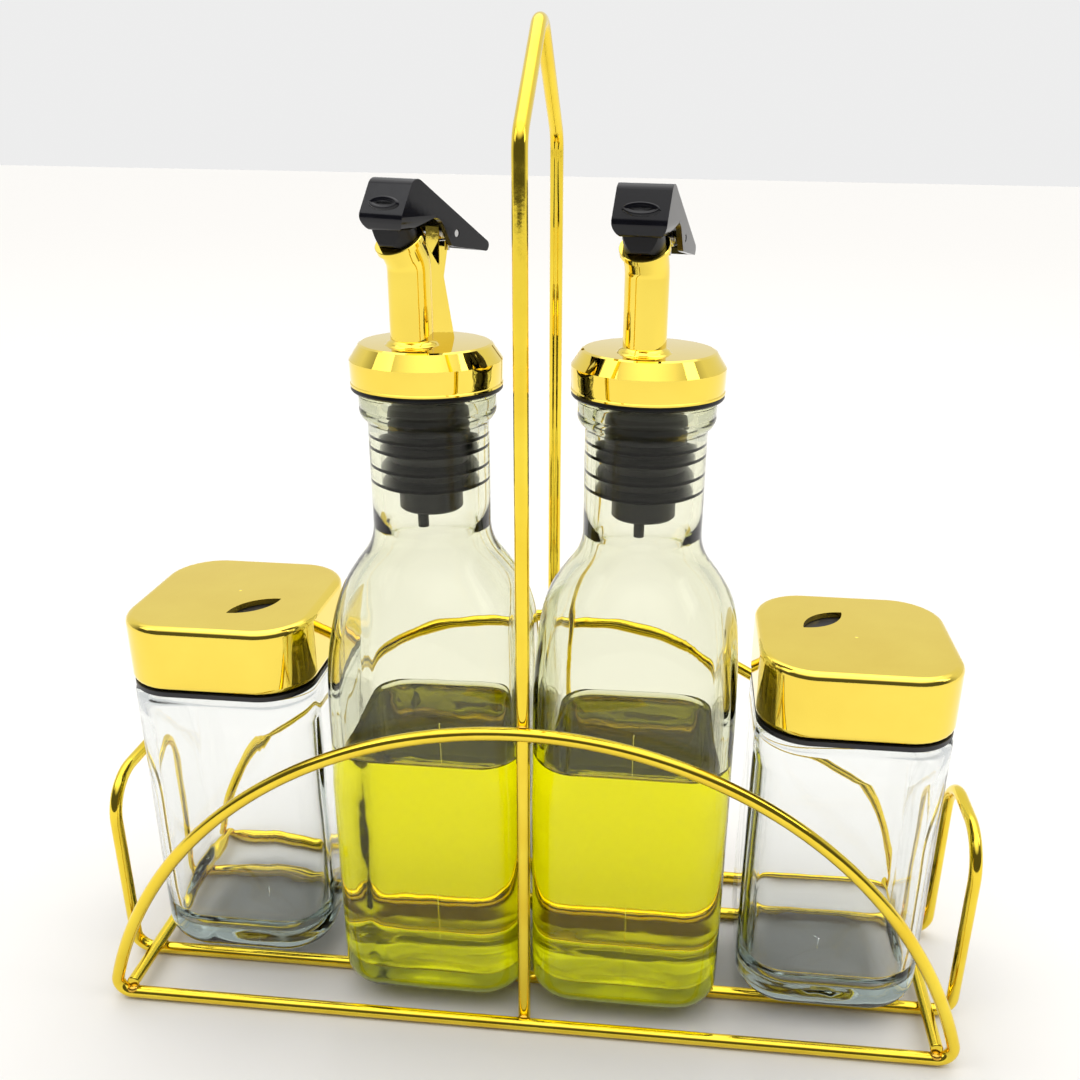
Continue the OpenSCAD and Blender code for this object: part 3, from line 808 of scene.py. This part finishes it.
def spout_tube():
    """The tube: up, over the elbow, a flared mouth with a ring, and back down the bore."""
    start = (0, -SPOUT_FORWARD, PLATE_Z - 0.5 * MM)
    bpy.ops.mesh.primitive_circle_add(vertices=64, radius=SPOUT_R, location=start)
    piece = begin("spout_tube")
    back = ELBOW_BEND * math.tan(MOUTH_LEAN / 2)
    go((0, 0, ELBOW_Z - back - PLATE_Z + 0.5 * MM))
    turn((0, -SPOUT_FORWARD - ELBOW_BEND, ELBOW_Z - back), (1, 0, 0), MOUTH_LEAN, 8)
    ahead = Vector((0, -math.sin(MOUTH_LEAN), math.cos(MOUTH_LEAN)))
    ring_h = 1.4 * MM
    go(ahead * (MOUTH_LEN - back - ring_h))
    flare, choke = MOUTH_R / SPOUT_R, FLOW_R * 1.06 / MOUTH_R
    for advance, grow in ((0.15, flare), (1.1, 1.0), (0.15, 0.97), (0, choke), (-0.3, 0.94)):
        go(ahead * advance * MM)
        bpy.ops.transform.resize(value=(grow, grow, grow))
    go(-ahead * MOUTH_LEN)
    bpy.ops.mesh.edge_face_add()
    return end(piece, 30)


PIN_HOLE_R = 0.85 * MM


def pin_hole(side, reach):
    """A cutter along the hinge pin, to both sides of the middle."""
    px, pz = pivot(side)
    r = PIN_HOLE_R
    tool = lathe("hole", [(0.01 * MM, -reach), (r, -reach), (r, reach), (0.01 * MM, reach)], 24)
    return put(tool, Matrix.Translation((0, -px, pz)) @ Matrix.Rotation(math.pi / 2, 4, "Y"))


def fin(side):
    """The flat rib behind the tube, notched above, which holds the hinge pin."""
    px, pz = pivot(side)
    ear = 2 * MM
    p = PLATE_Z
    corners = [
        (SPOUT_FORWARD, p - 0.5 * MM, 0.1 * MM),
        (-8.4 * MM, p - 0.5 * MM, 0.1 * MM),
        (-5.0 * MM, p + 14.5 * MM, 1.2 * MM),
        (px - ear, pz - ear, 1.2 * MM),
        (px - ear, pz + ear * 0.8, 1.6 * MM),
        (px + ear * 0.7, pz + ear * 0.8, 0.4 * MM),
        (-3.4 * MM, p + 17.0 * MM, 0.2 * MM),
        (1.4 * MM, p + 23.0 * MM, 0.25 * MM),
        (SPOUT_FORWARD, ELBOW_Z, 0.1 * MM),
    ]
    piece = plate("fin", rounded(corners, 4), FIN_W)
    cut(piece, pin_hole(side, FIN_W))
    return soften(piece, 0.35 * MM, 3)


def stem():
    """The hidden tube inside the stopper."""
    low = COLLAR_Z - STOPPER_H
    inner = STEM_R - 1.6 * MM
    return lathe("stem", [(inner, COLLAR_Z), (inner, low), (STEM_R, low), (STEM_R, COLLAR_Z)], 48)


def spout(side):
    parts = [collar(), foot(), spout_tube(), fin(side), stem()]
    piece = joined(side + "_spout_body", parts)
    put(piece, pourer_place(side))
    finished(piece, side + "_pourer", "gold_plastic", gold_plate, side + "_spout")


def gasket(side):
    """A rubber washer with a soft rim under the collar."""
    r = COLLAR_R - 0.1 * MM
    low, high, inner = REST, COLLAR_Z - 0.03 * MM, STOPPER_R + 0.03 * MM
    profile = [(inner, high), (inner, low), (r - 0.8 * MM, low)]
    profile += [(r - 0.3 * MM, low + 0.15 * MM), (r, low + 0.5 * MM)]
    profile += [(r, high - 0.4 * MM), (r - 0.25 * MM, high), (inner, high)]
    piece = lathe(side + "_gasket_ring", profile, 96)
    put(piece, pourer_place(side))
    finished(piece, side + "_pourer", "black_rubber", rubber, side + "_gasket")


TOE_R = 7.8 * MM
TOE_H = 5.5 * MM
PRESS = 0.12 * MM


def stopper(side):
    """The rubber stopper: a core, four sealing rings that press on the glass, and a toe."""
    bore = NECK_R - 2.6 * MM
    ring_r = bore + PRESS
    inner = STEM_R + 0.03 * MM
    low = COLLAR_Z - STOPPER_H
    profile = [(inner, COLLAR_Z), (STOPPER_R, COLLAR_Z)]
    for z in STOPPER_RINGS:
        profile += [(STOPPER_R, z + 2.0 * MM), (ring_r - 0.25 * MM, z + 1.15 * MM), (ring_r, z + 0.85 * MM)]
        profile += [(ring_r, z + 0.35 * MM), (ring_r - 0.3 * MM, z), (STOPPER_R + 0.2 * MM, z - 0.1 * MM)]
    toe = low + TOE_H
    profile += [(STOPPER_R, toe + 0.8 * MM), (STOPPER_R - 0.6 * MM, toe), (TOE_R, toe - 0.1 * MM)]
    profile += [(TOE_R, low + 0.5 * MM), (TOE_R - 0.5 * MM, low), (inner, low), (inner, COLLAR_Z)]
    piece = lathe(side + "_stopper_plug", profile, 96, 40)
    put(piece, pourer_place(side))
    finished(piece, side + "_pourer", "black_rubber", rubber, side + "_stopper")


LEVER_W = 12.3 * MM
LEVER_WALL = 1.3 * MM


def lever_outline():
    p = PLATE_Z
    corners = ((8.8, 37.2, 2.4), (13.9, 28.2, 2.7), (12.4, 25.0, 1.5), (7.4, 26.6, 1.6),
               (1.0, 28.6, 3.2), (-3.2, 21.6, 1.6), (-16.4, 19.6, 0.9), (-17.4, 21.4, 1.1))
    return [(x * MM, p + z * MM, r * MM) for x, z, r in corners]


def lever_inside():
    """The space inside the lever, open below, which leaves a wall under its roof and nose."""
    c = lever_outline()
    roof = Vector((c[7][1] - c[0][1], c[0][0] - c[7][0])).normalized()
    nose = Vector((c[0][1] - c[1][1], c[1][0] - c[0][0])).normalized()
    tail = c[7][0] + 2 * MM
    slope = (c[0][1] - c[7][1]) / (c[0][0] - c[7][0])
    front = c[1][0] - LEVER_WALL / nose.x
    return [
        (c[0][0] - 1.5 * MM, c[0][1] - 1.9 * MM, 0.8 * MM), (front, c[1][1] - 0.6 * MM, 0.6 * MM),
        (front, c[2][1] - 4 * MM, 0.5 * MM), (tail, c[6][1] - 3 * MM, 0.5 * MM),
        (tail, c[7][1] + 2 * MM * slope - LEVER_WALL / roof.y, 0.3 * MM),
    ]


MARK_LONG = 4.3 * MM
MARK_HIGH = 1.7 * MM


def thumb_mark():
    """The raised oval low on the lever's nose."""
    points = []
    for k in range(36):
        a = -math.tau * k / 36
        points.append((MARK_LONG * math.cos(a), MARK_HIGH * math.sin(a)))
    piece = draw("thumb_mark", [(x, 0, z) for x, z in points], closed=True)
    for thickness, depth in ((0.25, 0.45), (0.3, 0.1), (0.35, -0.3), (0.3, -0.1)):
        bpy.ops.mesh.inset(thickness=thickness * MM, depth=depth * MM, use_even_offset=False)
    end(piece, 60)
    c = lever_outline()
    run, fall = c[1][0] - c[0][0], c[0][1] - c[1][1]
    tilt = math.atan2(run, fall)
    share = 0.66
    spot = (0, -(c[0][0] + run * share), c[0][1] - fall * share)
    return put(piece, Matrix.Translation(spot) @ Matrix.Rotation(-tilt, 4, "X"))


LIP_ROUND = 3.6 * MM


def lip_corner(sign):
    """What is cut from a lower corner of the hood, so that the lip curves from cheek to cheek."""
    half = LEVER_W / 2
    low = lever_outline()[2][1]
    points = [(half + MM, low - MM), (half + MM, low + LIP_ROUND)]
    for k in range(9):
        a = math.pi / 2 * k / 8
        across = half - LIP_ROUND * (1 - math.cos(a))
        points.append((across, low + LIP_ROUND * (1 - math.sin(a))))
    points.append((half - LIP_ROUND, low - MM))
    tool = draw("lip_corner", [(sign * x, -2 * MM, z) for x, z in points], closed=True)
    go((0, -16 * MM, 0))
    return end(tool)


def lever(side):
    """The lever: a hood over the mouth, two cheeks and a tail to press."""
    piece = plate("lever", rounded(lever_outline(), 6), LEVER_W)
    hollow = plate("hollow", rounded(lever_inside(), 4), LEVER_W - 2 * LEVER_WALL)
    cut(piece, hollow)
    cut(piece, pin_hole(side, LEVER_W))
    for side_sign in (-1, 1):
        cut(piece, lip_corner(side_sign))
    soften(piece, 0.6 * MM, 4, 30)
    piece = joined(side + "_lever_hood", [piece, thumb_mark()])
    put(piece, pourer_place(side))
    finished(piece, side + "_lever", "black_plastic", gloss_black, side + "_lever")


for side in SIDES:
    spout(side)
    gasket(side)
    stopper(side)
    lever(side)


# ---- CAD pieces that keep their shape ----

def dress(node, finish):
    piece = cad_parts[node]
    piece.data.materials.clear()
    piece.data.materials.append(finish)


for side in SIDES:
    dress(side + "_shaker", satin_black)
    dress(side + "_air_tube", satin_black)
    dress(side + "_lever_plug", rubber)
    dress(side + "_hinge_pin", steel)
    dress(side + "_spring", steel)


# ---- studio ----

def map_range(nodes, links, source, low, high):
    made = nodes.new("ShaderNodeMapRange")
    made.inputs["From Min"].default_value = low
    made.inputs["From Max"].default_value = high
    links.new(source, made.inputs["Value"])
    return made.outputs["Result"]


def studio_floor():
    """A plain white floor."""
    bpy.ops.mesh.primitive_plane_add(size=12, location=(0, 0, -0.0002))
    sheet = bpy.context.object
    sheet.name = "floor"
    made = bpy.data.materials.new("white_floor")
    made.use_nodes = True
    nodes, links = made.node_tree.nodes, made.node_tree.links
    nodes.clear()
    out = nodes.new("ShaderNodeOutputMaterial")
    matt = nodes.new("ShaderNodeBsdfDiffuse")
    matt.inputs["Color"].default_value = (0.9, 0.89, 0.87, 1)
    links.new(matt.outputs["BSDF"], out.inputs["Surface"])
    sheet.data.materials.append(made)


def studio_room():
    """A soft room: pale behind the set, dim to the front and bright overhead."""
    world = bpy.data.worlds.new("room")
    bpy.context.scene.world = world
    world.use_nodes = True
    nodes, links = world.node_tree.nodes, world.node_tree.links
    nodes.clear()
    out = nodes.new("ShaderNodeOutputWorld")
    place = nodes.new("ShaderNodeTexCoord")
    split = nodes.new("ShaderNodeSeparateXYZ")
    links.new(place.outputs["Generated"], split.inputs["Vector"])
    facing = map_range(nodes, links, split.outputs["Y"], -1, 1)
    room = ramp(nodes, links, facing, (0.35, 0.1), (0.65, 0.85))
    overhead = map_range(nodes, links, split.outputs["Z"], 0.6, 0.9)
    lit = nodes.new("ShaderNodeMix")
    lit.data_type = "RGBA"
    links.new(overhead, lit.inputs["Factor"])
    links.new(room, lit.inputs["A"])
    lit.inputs["B"].default_value = (1.9, 1.88, 1.85, 1)
    back = nodes.new("ShaderNodeBackground")
    links.new(lit.outputs["Result"], back.inputs["Color"])
    links.new(back.outputs["Background"], out.inputs["Surface"])


def soft_box(name, place, aim, width, height, power):
    data = bpy.data.lights.new(name, "AREA")
    data.shape = "RECTANGLE"
    data.size = width
    data.size_y = height
    data.energy = power
    lamp = bpy.data.objects.new(name, data)
    bpy.context.scene.collection.objects.link(lamp)
    lamp.location = place
    lamp.rotation_euler = (Vector(aim) - Vector(place)).to_track_quat("-Z", "Y").to_euler()
    lamp.visible_camera = False
    return lamp


def studio_camera():
    """Near and a little above the set, right of its middle."""
    yaw, pitch, roll = math.radians(-5.07), math.radians(22.46), math.radians(-0.97)
    ahead = Vector((math.sin(yaw) * math.cos(pitch), math.cos(yaw) * math.cos(pitch), -math.sin(pitch)))
    right = Vector((math.cos(yaw), -math.sin(yaw), 0))
    down = ahead.cross(right)
    across = right * math.cos(roll) + down * math.sin(roll)
    below = down * math.cos(roll) - right * math.sin(roll)
    data = bpy.data.cameras.new("camera")
    data.sensor_width = 36
    data.lens = 36.23
    data.shift_x = -0.038
    data.shift_y = 0.038
    data.clip_start = 0.01
    eye = bpy.data.objects.new("camera", data)
    bpy.context.scene.collection.objects.link(eye)
    turned = Matrix((across, -below, -ahead)).transposed().to_4x4()
    eye.matrix_world = Matrix.Translation((0.0338, -0.2598, 0.2260)) @ turned
    bpy.context.scene.camera = eye


bpy.context.scene.view_settings.view_transform = "Standard"
light_paths = bpy.context.scene.cycles
light_paths.max_bounces = 28
light_paths.transmission_bounces = 28
light_paths.glossy_bounces = 10
studio_floor()
studio_room()
soft_box("back_light", (0, 0.5, 1.3), (0, 0.1, 0), 1.4, 1.0, 2)
soft_box("left_light", (-0.9, -0.3, 0.9), (0, 0, 0.1), 0.5, 0.5, 1)
soft_box("right_light", (0.9, -0.1, 0.8), (0, 0, 0.1), 0.3, 0.5, 1)
studio_camera()
